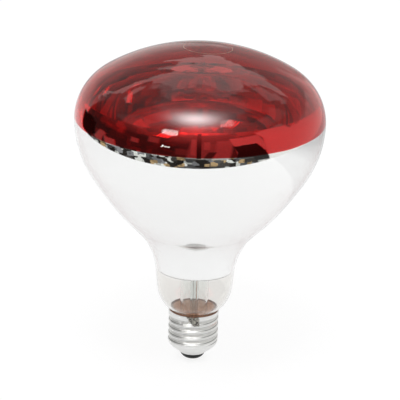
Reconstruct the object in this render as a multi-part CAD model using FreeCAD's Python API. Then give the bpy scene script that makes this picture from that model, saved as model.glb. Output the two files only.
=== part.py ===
import FreeCAD, Part
import math
import os

# Infrared heat lamp of the reflector type, standing on its screw cap with the red face up.
# Millimetres. Z is the lamp's axis, and z = 0 is the foot of the centre contact.

# Glass bulb
bulb_d = 127.0  # widest diameter, at the equator
face_depth = 37.5  # equator to crown
face_shoulder_r = 27.0  # rounding between the shallow face and the equator
bowl_shoulder_r = 52.0  # rounding between the equator and the reflector
reflector_focus = 17.2  # focal length of the parabolic reflector
throat_r = 38.7  # hollow curve from the reflector into the neck
neck_top_d = 40.8
neck_foot_d = 39.0
neck_length = 9.0
heel_r = 17.3  # rounding from the neck into the cap
collar_d = 22.0  # glass collar inside the cap
collar_fillet_r = 2.0
collar_depth = 7.5  # cap rim down to the fused end of the collar
glass_wall = 1.0

# Coats on the glass
mirror_film = 0.12  # aluminium inside
mirror_rise = 12.5  # its upper edge above the equator
mirror_foot = 1.6  # its lower edge above the top of the neck
red_film = 0.10  # red filter outside
red_rise = 1.0  # its lower edge above the equator

# Screw cap of 27 mm, its round thread rolled in thin sheet and shown as rings
cap_d = 26.2
cap_height = 27.6  # foot of the contact to the rim
cap_sheet = 0.3
thread_pitch = 3.629
thread_depth = 0.95
thread_foot_z = 11.27  # lowest crest, where the wall starts to turn in
skirt_least = 1.5  # plain wall left above the thread, which has as many turns as fit
nose_r = 5.0
nose_slope = 50.0  # degrees from upright
lip_d = 13.6  # opening that the insulator fills
rim_seam = 0.7  # rim to glass, filled with cement
cement_depth = 6.5
cement_setback = 0.15

# Insulator and contact
insulator_foot_z = 0.7
insulator_foot_d = 8.8
insulator_setback = 0.1  # inside the outer edge of the shell's lip
insulator_bulge = 0.35
insulator_top_z = 8.0
insulator_funnel_d = 12.0
insulator_funnel_z = 3.6
contact_d = 6.6
contact_sheet = 0.5
eyelet_d = 2.6
eyelet_bore_d = 1.6
eyelet_length = 1.6

# Solder
solder_d = 4.0
solder_flat_d = 2.4
solder_plug = 0.8  # how far it fills the eyelet
dab_r = 4.2  # ball radius of the dab of solder at the rim
dab_rise = 1.1  # how far it stands out of the skirt
dab_drop = 2.1  # its middle below the rim
solder_side = -90.0  # where the side lead comes over the rim, degrees about the axis
dab_angle = -92.0
tail_r = 2.4  # a run of solder below the dab
tail_rise = 0.9
tail_drop = 4.0
tail_angle = -81.0

# Stem
flare_d = 14.5
flare_wall = 1.0
flare_bell_r = 2.4
press_taper = 6.5
press_length = 7.0
press_width = 16.4
press_thickness = 5.4
press_angle = -75.0  # degrees about the axis
pocket_depth = 3.6  # the flare's hollow goes this far up into the press
pocket_width = 11.0
pocket_thickness = 4.8
exhaust_d = 4.4
exhaust_wall = 0.8
exhaust_tip_z = 15.5
exhaust_tip_length = 3.5
pump_hole_d = 1.6
pump_hole_rise = 1.6
rod_d = 3.6
rod_sink = 2.0
button_d = 6.0
button_drop = 6.5  # filament down to the middle of the button
button_rise = 5.1  # top of the press up to the middle of the button

# Wires
lead_spacing = 8.4
outer_lead_d = 0.4
seal_wire_d = 0.6
inner_lead_d = 0.9
inner_lead_sink = 3.4  # below the top of the press, where it joins the seal wire
inner_lead_upright = 2.5
bend_r = 1.5
tight_bend_r = 0.35
lead_slack = 2.0  # the side lead passes this far under the collar
lead_lean_drop = 2.8  # below the rim, where the side lead leans out towards the seam
filament_ring_d = 24.0
filament_coil_d = 1.6
filament_gap = 60.0  # degrees of the ring left open between the leads
support_wire_d = 0.45
support_count = 5
support_play = 0.05
support_hook = 260.0  # degrees of wire round the filament

UP = FreeCAD.Vector(0, 0, 1)
CENTRE = FreeCAD.Vector(0, 0, 0)


def at(radius, z):
    """A point of the half section, which lies in the XZ plane."""
    return FreeCAD.Vector(radius, 0, z)


def polar(radius, angle, z):
    """A point at an angle about the lamp's axis, in degrees."""
    turn = math.radians(angle)
    return FreeCAD.Vector(radius * math.cos(turn), radius * math.sin(turn), z)


def solve(rising, low, high):
    """Where a rising function crosses zero."""
    for step in range(60):
        middle = (low + high) / 2
        if rising(middle) > 0:
            high = middle
        else:
            low = middle
    return (low + high) / 2


def line(start, end):
    return Part.makeLine(start, end)


def arc(centre, radius, start, end):
    """An arc of the half section. Its angles are in radians, from the radius direction."""
    angles = (start, (start + end) / 2, end)
    points = [centre + at(radius * math.cos(a), radius * math.sin(a)) for a in angles]
    return Part.Arc(*points).toShape()


def spun(edges):
    """The solid that a closed half section makes about the axis."""
    face = Part.Face(Part.Wire(Part.__sortEdges__(edges)))
    solid = face.revolve(CENTRE, UP, 360)
    if solid.Volume < 0:
        solid.reverse()
    return solid


def spun_polygon(*corners):
    points = [at(*corner) for corner in corners]
    return spun([line(a, b) for a, b in zip(points, points[1:] + points[:1])])


def rod(diameter, start, end):
    """A straight round bar from one point to another."""
    return Part.makeCylinder(diameter / 2, (end - start).Length, start, end - start)


def turned(shape, angle):
    copy = shape.copy()
    copy.rotate(CENTRE, UP, angle)
    return copy


def wire_along(edges, diameter):
    """A round wire swept along tangent edges."""
    path = Part.Wire(edges)
    first = path.OrderedEdges[0]
    start = first.valueAt(first.FirstParameter)
    heading = first.tangentAt(first.FirstParameter)
    section = Part.Wire(Part.Circle(start, heading, diameter / 2).toShape())
    return path.makePipeShell([section], True, False)


def bent(points, radius):
    """Straight runs through the points, joined by tangent arcs."""
    edges = []
    start = points[0]
    for before, corner, after in zip(points, points[1:], points[2:]):
        way_in = (corner - before).normalize()
        way_out = (after - corner).normalize()
        half_turn = way_in.getAngle(way_out) / 2
        reach = radius * math.tan(half_turn)
        inward = (way_out - way_in).normalize()
        bend_start = corner - way_in * reach
        bend_middle = corner + inward * radius * (1 / math.cos(half_turn) - 1)
        bend_end = corner + way_out * reach
        edges.append(line(start, bend_start))
        edges.append(Part.Arc(bend_start, bend_middle, bend_end).toShape())
        start = bend_end
    edges.append(line(start, points[-1]))
    return edges


# Outline of the glass. A lean is the wall's angle from upright, in radians. The neck sits on
# the cap, the reflector on the neck and the face on the reflector, each tangent to the next.

bulb_r = bulb_d / 2
cap_r = cap_d / 2
collar_r = collar_d / 2
cap_inner_r = cap_r - cap_sheet
neck_lean = math.atan2((neck_top_d - neck_foot_d) / 2, neck_length)

heel_centre_r = neck_foot_d / 2 - heel_r * math.cos(neck_lean)
heel_height = math.sqrt(heel_r**2 - (cap_inner_r - heel_centre_r) ** 2)
heel_centre = at(heel_centre_r, cap_height + rim_seam + heel_height)
heel_lean = math.acos((collar_r + collar_fillet_r - heel_centre_r) / (heel_r + collar_fillet_r))
collar_fillet_z = heel_centre.z - (heel_r + collar_fillet_r) * math.sin(heel_lean)
collar_fillet_centre = at(collar_r + collar_fillet_r, collar_fillet_z)
collar_end_z = cap_height - collar_depth
neck_foot_z = heel_centre.z - heel_r * math.sin(neck_lean)
neck_top_z = neck_foot_z + neck_length

throat_centre_r = neck_top_d / 2 + throat_r * math.cos(neck_lean)
throat_centre = at(throat_centre_r, neck_top_z - throat_r * math.sin(neck_lean))


def parabola_r(lean):
    """Radius at which the reflector's parabola has this lean."""
    return 2 * reflector_focus / math.tan(lean)


def throat_excess(lean):
    return throat_centre.x - throat_r * math.cos(lean) - parabola_r(lean)


def bowl_excess(lean):
    return bulb_r - bowl_shoulder_r * (1 - math.cos(lean)) - parabola_r(lean)


throat_lean = solve(throat_excess, neck_lean, math.pi / 2)
bowl_lean = solve(bowl_excess, neck_lean / 2, throat_lean)
parabola_foot_r = parabola_r(throat_lean)
parabola_top_r = parabola_r(bowl_lean)
parabola_foot_z = throat_centre.z + throat_r * math.sin(throat_lean)
vertex_z = parabola_foot_z - parabola_foot_r**2 / (4 * reflector_focus)
focus_z = vertex_z + reflector_focus
parabola_top_z = vertex_z + parabola_top_r**2 / (4 * reflector_focus)
equator_z = parabola_top_z + bowl_shoulder_r * math.sin(bowl_lean)

shoulder_centre_r = bulb_r - face_shoulder_r
crown_r = (shoulder_centre_r**2 + face_depth**2 - face_shoulder_r**2) / (2 * (face_depth - face_shoulder_r))
crown_z = equator_z + face_depth
crown_edge = math.atan2(crown_r - face_depth, shoulder_centre_r)


def reflector_curve(depth):
    """The parabola, set in from the outer face by this depth."""
    points = []
    for step in range(9):
        lean = bowl_lean + (throat_lean - bowl_lean) * step / 8
        radius = parabola_r(lean)
        outer = at(radius, vertex_z + radius**2 / (4 * reflector_focus))
        points.append(outer - at(math.cos(lean), -math.sin(lean)) * depth)
    top_heading = at(-math.sin(bowl_lean), -math.cos(bowl_lean))
    foot_heading = at(-math.sin(throat_lean), -math.cos(throat_lean))
    curve = Part.BSplineCurve()
    curve.interpolate(Points=points, InitialTangent=top_heading, FinalTangent=foot_heading)
    return curve.toShape()


def glass_outline(depth):
    """The glass from crown to collar end, set in from the outer face by this depth."""
    crown_centre = at(0, crown_z - crown_r)
    shoulder_centre = at(shoulder_centre_r, equator_z)
    bowl_centre = at(bulb_r - bowl_shoulder_r, equator_z)
    hollow = math.pi
    neck_side = at(math.cos(neck_lean), -math.sin(neck_lean)) * depth
    return [
        arc(crown_centre, crown_r - depth, math.pi / 2, crown_edge),
        arc(shoulder_centre, face_shoulder_r - depth, crown_edge, 0),
        arc(bowl_centre, bowl_shoulder_r - depth, 0, -bowl_lean),
        reflector_curve(depth),
        arc(throat_centre, throat_r + depth, hollow - throat_lean, hollow - neck_lean),
        line(at(neck_top_d / 2, neck_top_z) - neck_side, at(neck_foot_d / 2, neck_foot_z) - neck_side),
        arc(heel_centre, heel_r - depth, -neck_lean, -heel_lean),
        arc(collar_fillet_centre, collar_fillet_r + depth, hollow - heel_lean, hollow),
        line(at(collar_r - depth, collar_fillet_z), at(collar_r - depth, collar_end_z)),
    ]


def glass_layer(outer, inner):
    """A closed layer of the bulb between two depths under its outer face."""
    crown_edge_line = line(at(0, crown_z - outer), at(0, crown_z - inner))
    foot_line = line(at(collar_r - outer, collar_end_z), at(collar_r - inner, collar_end_z))
    return spun(glass_outline(outer) + glass_outline(inner) + [crown_edge_line, foot_line])


def glass_body():
    """The bulb's outer form as if it were solid, to fit cement and solder against."""
    axis_line = line(at(0, crown_z), at(0, collar_end_z))
    foot_line = line(at(0, collar_end_z), at(collar_r, collar_end_z))
    return spun(glass_outline(0) + [axis_line, foot_line])


def slab(z_low, z_high):
    """Everything near the lamp between two heights."""
    return rod(2 * bulb_d, at(0, z_low), at(0, z_high))


def make_envelope():
    return glass_layer(0, glass_wall)


def make_reflector_coating():
    film = glass_layer(glass_wall, glass_wall + mirror_film)
    return film.common(slab(neck_top_z + mirror_foot, equator_z + mirror_rise))


def make_red_coat():
    film = glass_layer(-red_film, 0)
    return film.common(slab(equator_z + red_rise, crown_z + bulb_d))


# Screw cap. One outline, set in by the sheet's thickness, gives both sides of the wall.

nose_turn = math.radians(nose_slope)
thread_turns = math.floor((cap_height - skirt_least - thread_foot_z) / thread_pitch)
thread_top_z = thread_foot_z + thread_turns * thread_pitch
cone_top_z = thread_foot_z - nose_r * math.sin(nose_turn)
cone_top_r = cap_r - nose_r * (1 - math.cos(nose_turn))
lip_z = cone_top_z - (cone_top_r - lip_d / 2) / math.tan(nose_turn)


def cap_outline(depth):
    """The cap's wall from rim to lip, set in from its outer face by this depth."""
    half_pitch = thread_pitch / 2
    round_r = (thread_depth**2 + half_pitch**2) / (4 * thread_depth)
    sweep = math.atan2(half_pitch / 2, round_r - thread_depth / 2)
    crest = at(cap_r - round_r, thread_top_z)
    edges = [line(at(cap_r - depth, cap_height), at(cap_r - depth, thread_top_z))]
    edges.append(arc(crest, round_r - depth, 0, -sweep))
    for turn in range(thread_turns):
        groove = at(cap_r - thread_depth + round_r, crest.z - half_pitch)
        crest = crest - UP * thread_pitch
        crest_end = 0 if turn == thread_turns - 1 else -sweep
        edges.append(arc(groove, round_r + depth, math.pi - sweep, math.pi + sweep))
        edges.append(arc(crest, round_r - depth, sweep, crest_end))
    nose_centre = at(cap_r - nose_r, thread_foot_z)
    edges.append(arc(nose_centre, nose_r - depth, 0, -nose_turn))
    cone_top = nose_centre + at(math.cos(nose_turn), -math.sin(nose_turn)) * (nose_r - depth)
    edges.append(line(cone_top, at(lip_d / 2 - depth / math.cos(nose_turn), lip_z)))
    return edges


def make_cap_shell():
    lip_inner_r = lip_d / 2 - cap_sheet / math.cos(nose_turn)
    rim = line(at(cap_r, cap_height), at(cap_inner_r, cap_height))
    lip = line(at(lip_d / 2, lip_z), at(lip_inner_r, lip_z))
    return spun(cap_outline(0) + cap_outline(cap_sheet) + [rim, lip])


def cap_filling(z_low, z_high):
    """All of the room inside the cap's wall between two heights."""
    lip_inner_r = lip_d / 2 - cap_sheet / math.cos(nose_turn)
    rim = line(at(cap_inner_r, cap_height), at(0, cap_height))
    lip = line(at(lip_inner_r, lip_z), at(0, lip_z))
    axis_line = line(at(0, lip_z), at(0, cap_height))
    return spun(cap_outline(cap_sheet) + [rim, lip, axis_line]).common(slab(z_low, z_high))


def make_cement(glass, side_lead):
    bead = rod(cap_d - 2 * cement_setback, at(0, cap_height), at(0, cap_height + 2 * rim_seam))
    filling = cap_filling(cap_height - cement_depth, cap_height)
    return filling.fuse(bead).cut(glass).cut(side_lead)


def make_insulator():
    """Black glass cast into the cap's lip, with a funnel that guides the lead."""
    edge_corner = at(lip_d / 2 - insulator_setback, lip_z)
    foot_corner = at(insulator_foot_d / 2, insulator_foot_z)
    chord = edge_corner - foot_corner
    bulge = at(chord.z, -chord.x).normalize() * insulator_bulge
    side = Part.Arc(foot_corner, foot_corner + chord * 0.5 + bulge, edge_corner).toShape()
    foot_centre = at(0, insulator_foot_z)
    lip_centre = at(0, lip_z)
    foot = spun(
        [
            line(foot_centre, foot_corner),
            side,
            line(edge_corner, lip_centre),
            line(lip_centre, foot_centre),
        ]
    )
    funnel = spun_polygon(
        (0, insulator_funnel_z),
        (eyelet_d / 2, insulator_funnel_z),
        (insulator_funnel_d / 2, insulator_top_z),
        (0, insulator_top_z),
    )
    hole = rod(eyelet_d, foot_centre, at(0, insulator_top_z))
    body = cap_filling(lip_z, insulator_top_z).fuse(foot)
    return body.cut(funnel.fuse(hole)).removeSplitter()


def make_contact():
    plate_foot_z = insulator_foot_z - contact_sheet
    return spun_polygon(
        (eyelet_bore_d / 2, plate_foot_z),
        (contact_d / 2 - contact_sheet / 2, plate_foot_z),
        (contact_d / 2, insulator_foot_z - contact_sheet / 2),
        (contact_d / 2, insulator_foot_z),
        (eyelet_d / 2, insulator_foot_z),
        (eyelet_d / 2, insulator_foot_z + eyelet_length),
        (eyelet_bore_d / 2, insulator_foot_z + eyelet_length),
    )


def make_centre_solder(centre_lead):
    plate_foot_z = insulator_foot_z - contact_sheet
    button = spun_polygon(
        (0, 0),
        (solder_flat_d / 2, 0),
        (solder_d / 2, plate_foot_z),
        (eyelet_bore_d / 2, plate_foot_z),
        (eyelet_bore_d / 2, plate_foot_z + solder_plug),
        (0, plate_foot_z + solder_plug),
    )
    return button.cut(centre_lead)


def solder_ball(radius, rise, drop, angle):
    return Part.makeSphere(radius, polar(cap_r + rise - radius, angle, cap_height - drop))


def make_side_solder(glass, cement, side_lead):
    dab = solder_ball(dab_r, dab_rise, dab_drop, dab_angle)
    tail = solder_ball(tail_r, tail_rise, tail_drop, tail_angle)
    lump = dab.fuse(tail).cut(rod(cap_d, at(0, 0), at(0, cap_height + bulb_d)))
    return lump.cut(glass).cut(cement).cut(side_lead)


# Stem, measured down from the focus, where it holds the filament. It is built with its press
# along X and then turned about the axis as a whole.

flare_r = flare_d / 2
button_z = focus_z - button_drop
press_top_z = button_z - button_rise
press_foot_z = press_top_z - press_length - press_taper
pocket_top_z = press_foot_z + pocket_depth
lead_join_z = press_top_z - inner_lead_sink
ring_r = filament_ring_d / 2
lead_offset = lead_spacing / 2


def ellipse(width, thickness, z):
    if width > thickness:
        return Part.Wire(Part.Ellipse(at(0, z), width / 2, thickness / 2).toShape())
    return Part.Wire(Part.Circle(at(0, z), UP, width / 2).toShape())


def make_flare_body():
    bell_centre = at(flare_r + flare_bell_r, collar_end_z + flare_bell_r)
    bell_side = math.pi
    bell_foot = 1.5 * math.pi
    rim_z = collar_end_z - flare_wall
    bell_r = bell_centre.x
    tube = spun(
        [
            line(at(flare_r, press_foot_z), at(flare_r, bell_centre.z)),
            arc(bell_centre, flare_bell_r, bell_side, bell_foot),
            line(at(bell_r, collar_end_z), at(collar_r, collar_end_z)),
            line(at(collar_r, collar_end_z), at(collar_r, rim_z)),
            line(at(collar_r, rim_z), at(bell_r, rim_z)),
            arc(bell_centre, flare_bell_r + flare_wall, bell_foot, bell_side),
            line(at(flare_r - flare_wall, bell_centre.z), at(flare_r - flare_wall, press_foot_z)),
            line(at(flare_r - flare_wall, press_foot_z), at(flare_r, press_foot_z)),
        ]
    )
    taper_top_z = press_foot_z + press_taper
    foot = ellipse(flare_d, flare_d, press_foot_z)
    waist = ellipse(press_width, press_thickness, taper_top_z)
    top = ellipse(press_width, press_thickness, press_top_z)
    press = Part.makeLoft([foot, waist, top], True, True)
    pocket_foot = ellipse(flare_d - 2 * flare_wall, flare_d - 2 * flare_wall, press_foot_z)
    pocket_top = ellipse(pocket_width, pocket_thickness, pocket_top_z)
    pocket = Part.makeLoft([pocket_foot, pocket_top], True, True)
    return tube.fuse(press.cut(pocket))


def make_pump_hole():
    turn_z = pocket_top_z + pump_hole_rise
    upright = rod(pump_hole_d, at(0, press_foot_z), at(0, turn_z))
    across = rod(pump_hole_d, at(0, turn_z), FreeCAD.Vector(0, flare_d, turn_z))
    return upright.fuse(across)


def make_exhaust_tube():
    bore_r = exhaust_d / 2 - exhaust_wall
    shoulder_z = exhaust_tip_z + exhaust_tip_length
    return spun_polygon(
        (exhaust_d / 2, pocket_top_z),
        (exhaust_d / 2, shoulder_z),
        (exhaust_wall, exhaust_tip_z),
        (0, exhaust_tip_z),
        (0, exhaust_tip_z + 2 * exhaust_wall),
        (bore_r, shoulder_z),
        (bore_r, pocket_top_z),
    )


def make_support_rod():
    shank = rod(rod_d, at(0, press_top_z - rod_sink), at(0, button_z))
    return shank.fuse(Part.makeSphere(button_d / 2, at(0, button_z)))


def make_filament():
    coil = Part.Circle(at(ring_r, focus_z), FreeCAD.Vector(0, 1, 0), filament_coil_d / 2)
    ring = Part.Face(Part.Wire(coil.toShape())).revolve(CENTRE, UP, 360 - filament_gap)
    if ring.Volume < 0:
        ring.reverse()
    return turned(ring, filament_gap / 2 - 90)


def make_support_wire(angle):
    """From the button to the filament, with a hook round it."""
    hook_r = filament_coil_d / 2 + support_play + support_wire_d / 2
    hook_centre = at(ring_r, focus_z)
    start = at(button_d / 4, button_z)
    run = hook_centre - start
    to_start = math.atan2(-run.z, -run.x)
    touch = to_start + math.acos(hook_r / run.Length)
    hook = arc(hook_centre, hook_r, touch, touch + math.radians(support_hook))
    touch_point = hook_centre + at(hook_r * math.cos(touch), hook_r * math.sin(touch))
    return turned(wire_along([line(start, touch_point), hook], support_wire_d), angle)


def make_inner_lead(side, filament):
    """From the press up and out to one end of the filament."""
    end = polar(ring_r, -90 + side * filament_gap / 2, focus_z)
    lead_x = side * lead_offset
    points = [at(lead_x, lead_join_z), at(lead_x, press_top_z + inner_lead_upright), end]
    return wire_along(bent(points, bend_r), inner_lead_d).cut(filament)


def make_seal_wire(side):
    lead_x = side * lead_offset
    return rod(seal_wire_d, at(lead_x, pocket_top_z), at(lead_x, lead_join_z))


def lead_start(side):
    """Where a lead leaves the press, once the stem is turned."""
    return polar(side * lead_offset, press_angle, pocket_top_z)


def make_centre_lead():
    """From the press down past the exhaust tip to the centre contact."""
    start = lead_start(-1)
    points = [
        start,
        FreeCAD.Vector(start.x, start.y, exhaust_tip_z + exhaust_tip_length),
        at(0, insulator_top_z + bend_r),
        at(0, insulator_foot_z - contact_sheet / 2),
    ]
    return wire_along(bent(points, bend_r), outer_lead_d)


def make_side_lead():
    """From the press down under the collar, up through the cement and over the rim."""
    start = lead_start(1)
    under_z = collar_end_z - flare_wall - lead_slack
    beside_r = collar_r + outer_lead_d
    rim_lean = math.acos((cap_inner_r - heel_centre_r) / heel_r)
    along = at(math.sin(rim_lean), math.cos(rim_lean))
    across = at(-math.cos(rim_lean), math.sin(rim_lean)) * (rim_seam * math.sin(rim_lean) / 2)
    seam = at(cap_inner_r, cap_height) + across
    seam_in = seam - along * rim_seam
    seam_out = seam + along * rim_seam
    points = [
        start,
        FreeCAD.Vector(start.x, start.y, under_z),
        polar(beside_r, solder_side, under_z),
        polar(beside_r, solder_side, cap_height - lead_lean_drop),
        polar(seam_in.x, solder_side, seam_in.z),
        polar(seam_out.x, solder_side, seam_out.z),
        polar(cap_r + dab_rise / 2, solder_side, cap_height - outer_lead_d),
    ]
    return wire_along(bent(points, tight_bend_r), outer_lead_d)


def make_parts():
    glass = glass_body()
    filament = make_filament()
    supports = {}
    for number in range(support_count):
        spread = (360 - filament_gap) / support_count
        angle = filament_gap / 2 - 90 + spread * (number + 0.5)
        supports[f"support_wire_{number + 1}"] = make_support_wire(angle)
    inner_leads = {}
    seal_wires = {}
    for side, hand in [(-1, "left"), (1, "right")]:
        inner_leads[f"inner_lead_{hand}"] = make_inner_lead(side, filament)
        seal_wires[f"seal_wire_{hand}"] = make_seal_wire(side)
    support_rod = make_support_rod()
    press_holes = [make_pump_hole(), support_rod, *seal_wires.values(), *inner_leads.values()]
    stem = {
        "stem_flare": make_flare_body().cut(press_holes),
        "exhaust_tube": make_exhaust_tube(),
        "support_rod": support_rod.cut(list(supports.values())),
        "filament": filament,
        **inner_leads,
        **seal_wires,
        **supports,
    }
    centre_lead = make_centre_lead()
    side_lead = make_side_lead()
    cement = make_cement(glass, side_lead)
    return {
        "envelope": make_envelope(),
        "reflector_coating": make_reflector_coating(),
        "red_filter_coat": make_red_coat(),
        **{name: turned(shape, press_angle) for name, shape in stem.items()},
        "centre_lead": centre_lead,
        "side_lead": side_lead,
        "cap_shell": make_cap_shell(),
        "cap_cement": cement,
        "cap_insulator": make_insulator(),
        "centre_contact": make_contact(),
        "centre_solder": make_centre_solder(centre_lead),
        "side_solder": make_side_solder(glass, cement, side_lead),
    }


os.makedirs("parts", exist_ok=True)
for name, shape in make_parts().items():
    shape.exportStep(f"parts/{name}.step")
    print(name, len(shape.Solids), round(shape.Volume, 2), shape.isValid())
print("height", round(crown_z, 2), "equator", round(equator_z, 2), "focus", round(focus_z, 2))
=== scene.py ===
# %% [markdown]
# An infrared heat lamp, dressed for its portrait.
# The lamp is a blown glass bulb with a mirror inside, a red face outside, and a screw cap below.
# The frame gives its solids at their real size. Here each visible surface gets its true form and
# finish, and the frame's own pieces stay where they are.

# %% Load the frame
import math
import bpy
from mathutils import Matrix, Vector, noise


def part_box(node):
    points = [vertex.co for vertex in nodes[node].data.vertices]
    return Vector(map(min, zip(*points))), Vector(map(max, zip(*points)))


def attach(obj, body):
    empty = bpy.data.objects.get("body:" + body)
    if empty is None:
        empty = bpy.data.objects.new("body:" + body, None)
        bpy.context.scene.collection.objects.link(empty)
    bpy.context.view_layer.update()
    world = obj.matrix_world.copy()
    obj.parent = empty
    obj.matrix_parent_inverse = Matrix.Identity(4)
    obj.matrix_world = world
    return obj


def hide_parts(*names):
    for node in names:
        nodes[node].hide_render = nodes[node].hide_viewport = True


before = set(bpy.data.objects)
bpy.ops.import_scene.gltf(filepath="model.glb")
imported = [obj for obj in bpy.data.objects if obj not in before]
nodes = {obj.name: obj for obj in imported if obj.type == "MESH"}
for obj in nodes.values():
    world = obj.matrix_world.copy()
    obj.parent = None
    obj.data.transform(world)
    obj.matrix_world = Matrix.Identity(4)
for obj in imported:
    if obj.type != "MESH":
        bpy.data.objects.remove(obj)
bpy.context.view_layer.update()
scene = bpy.context.scene
scene.view_settings.view_transform = "Standard"

# %% [markdown]
# The camera comes first, because every later choice is judged through it. It looks down on the
# lamp by about twenty degrees from a metre away, through a long lens. Even so the cap is seen a
# little more from above than the face is, and that is what sets the distance. A small roll levels
# the picture. The camera could be turned by angles, but a place and an aim are easier to judge.

# %% Camera
camera_place = Vector((0, -1.051, 0.4765))
camera_aim = Vector((0.001325, 0, 0.08754))
camera_roll = 0.0338
picture_side = 400
focal_pixels = 2192
sensor_width = 36

camera = bpy.data.objects.new("camera", bpy.data.cameras.new("camera"))
scene.collection.objects.link(camera)
scene.camera = camera
camera.data.sensor_width = sensor_width
camera.data.lens = sensor_width * focal_pixels / picture_side
forward = (camera_aim - camera_place).normalized()
level = forward.cross(Vector((0, 0, 1))).normalized()
upright = level.cross(forward)
right = level * math.cos(camera_roll) + upright * math.sin(camera_roll)
up = upright * math.cos(camera_roll) - level * math.sin(camera_roll)
turn = Matrix((right, up, -forward)).transposed()
camera.matrix_world = Matrix.Translation(camera_place) @ turn.to_4x4()
print("lens", round(camera.data.lens, 1), "mm")

# %% [markdown]
# A lathe would turn every round piece of this lamp, and so does the spin operator: an edge outline
# in the XZ plane goes once round the axis. Each outline is a chain of arcs and straight lines, as
# on a maker's drawing, so the first helpers work out the points of such runs and join them.

# %% Helpers for outlines
mm = 0.001
shared_distance = 0.01 * mm


def arc(centre, radius, start, end, count):
    """Points of an arc in the half section, each a radius and a height."""
    points = []
    for step in range(count + 1):
        angle = start + (end - start) * step / count
        points.append((centre[0] + radius * math.cos(angle), centre[1] + radius * math.sin(angle)))
    return points


def straight(start, end, count):
    """Points of a straight run."""
    points = []
    for step in range(count + 1):
        share = step / count
        points.append((start[0] + (end[0] - start[0]) * share, start[1] + (end[1] - start[1]) * share))
    return points


def chain(*runs):
    """One outline from several, without the points that they share."""
    points = [runs[0][0]]
    for point in [p for run in runs for p in run]:
        if math.dist(point, points[-1]) > shared_distance:
            points.append(point)
    return points


print("outline helpers: arc, straight and chain")

# %% [markdown]
# These helpers make a piece of an outline. The spin leaves doubled points at its seam and at the
# poles, so they are merged, and the faces are turned outwards. A finished piece is shaded smooth,
# rides on the root body, and stands in for the frame's pieces that it replaces.

# %% Helpers for spun pieces
spin_steps = 192
doubled_distance = 0.002 * mm


def deselect():
    """Leave edit mode and select nothing."""
    if bpy.context.object and bpy.context.object.mode == "EDIT":
        bpy.ops.object.mode_set(mode="OBJECT")
    bpy.ops.object.select_all(action="DESELECT")


def choose(piece):
    """Select one piece alone, because an operator acts on all that is selected."""
    deselect()
    bpy.context.view_layer.objects.active = piece
    piece.select_set(True)


def start_edit(piece):
    """Open one piece in edit mode with all of it selected."""
    choose(piece)
    bpy.ops.object.mode_set(mode="EDIT")
    bpy.ops.mesh.select_all(action="SELECT")


def outline_piece(name, points, closed=False):
    """An object that is only an edge outline in the XZ plane."""
    edges = [(i, i + 1) for i in range(len(points) - 1)]
    if closed:
        edges.append((len(points) - 1, 0))
    mesh = bpy.data.meshes.new(name)
    mesh.from_pydata([(r, 0, z) for r, z in points], edges, [])
    piece = bpy.data.objects.new(name, mesh)
    scene.collection.objects.link(piece)
    return piece


def spin_round(piece, steps=spin_steps):
    """Spin an outline once round the axis and close it."""
    start_edit(piece)
    bpy.ops.mesh.spin(steps=steps, angle=math.tau, center=(0, 0, 0), axis=(0, 0, 1))
    bpy.ops.mesh.select_all(action="SELECT")
    bpy.ops.mesh.remove_doubles(threshold=doubled_distance)
    bpy.ops.mesh.normals_make_consistent(inside=False)
    bpy.ops.object.mode_set(mode="OBJECT")
    return piece


def finish_piece(piece, *replaced, slot, sharp=40):
    """Smooth shading, and the piece takes its place in the frame."""
    choose(piece)
    bpy.ops.object.shade_smooth_by_angle(angle=math.radians(sharp))
    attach(piece, "root")
    if replaced:
        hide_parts(*replaced)
    triangles = sum(len(face.vertices) - 2 for face in piece.data.polygons)
    print(piece.name, triangles, "triangles")
    return piece


def spun_piece(name, points, *replaced, slot, closed=False, sharp=40):
    """A whole piece from its outline."""
    piece = spin_round(outline_piece(name, points, closed))
    return finish_piece(piece, *replaced, slot=slot, sharp=sharp)


print("spun pieces go round in", spin_steps, "steps")

# %% [markdown]
# The bulb is one blown piece of soft glass. Its outline is a chain of tangent curves: a shallow
# crown, a tight shoulder, a wide bowl shoulder, the parabola of the reflector, a hollow throat,
# a short neck and the heel that goes into the cap. Each lean below is the wall's angle from
# upright where one curve hands over to the next, so an outline set in by the wall stays true.
# The main sizes are read from the frame, and the rest are the measures of this bulb.

# %% Measures of the glass
bulb_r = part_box("envelope")[1].x
crown_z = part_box("envelope")[1].z
face_depth = 37.5 * mm
face_shoulder_r = 27 * mm
bowl_shoulder_r = 52 * mm
reflector_focus = 17.2 * mm
throat_r = 38.7 * mm
neck_top_r = 20.4 * mm
neck_foot_r = 19.5 * mm
neck_length = 9 * mm
heel_r = 17.3 * mm
collar_r = 11 * mm
collar_fillet_r = 2 * mm
glass_wall = 1.0 * mm

cap_low, cap_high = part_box("cap_shell")
cap_r = cap_high.x
cap_height = cap_high.z
cap_sheet = 0.3 * mm
rim_seam = 0.7 * mm
print("glass", round(2 * bulb_r, 4), "across, cap", round(2 * cap_r, 4))

# %% [markdown]
# The heel is an arc that leaves the neck without a kink, comes in to the cap's inner radius a
# little above its rim, and runs into the collar over a small fillet. Circles that touch have their
# centres in line with the point where they touch, so each centre follows from the one before.

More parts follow.
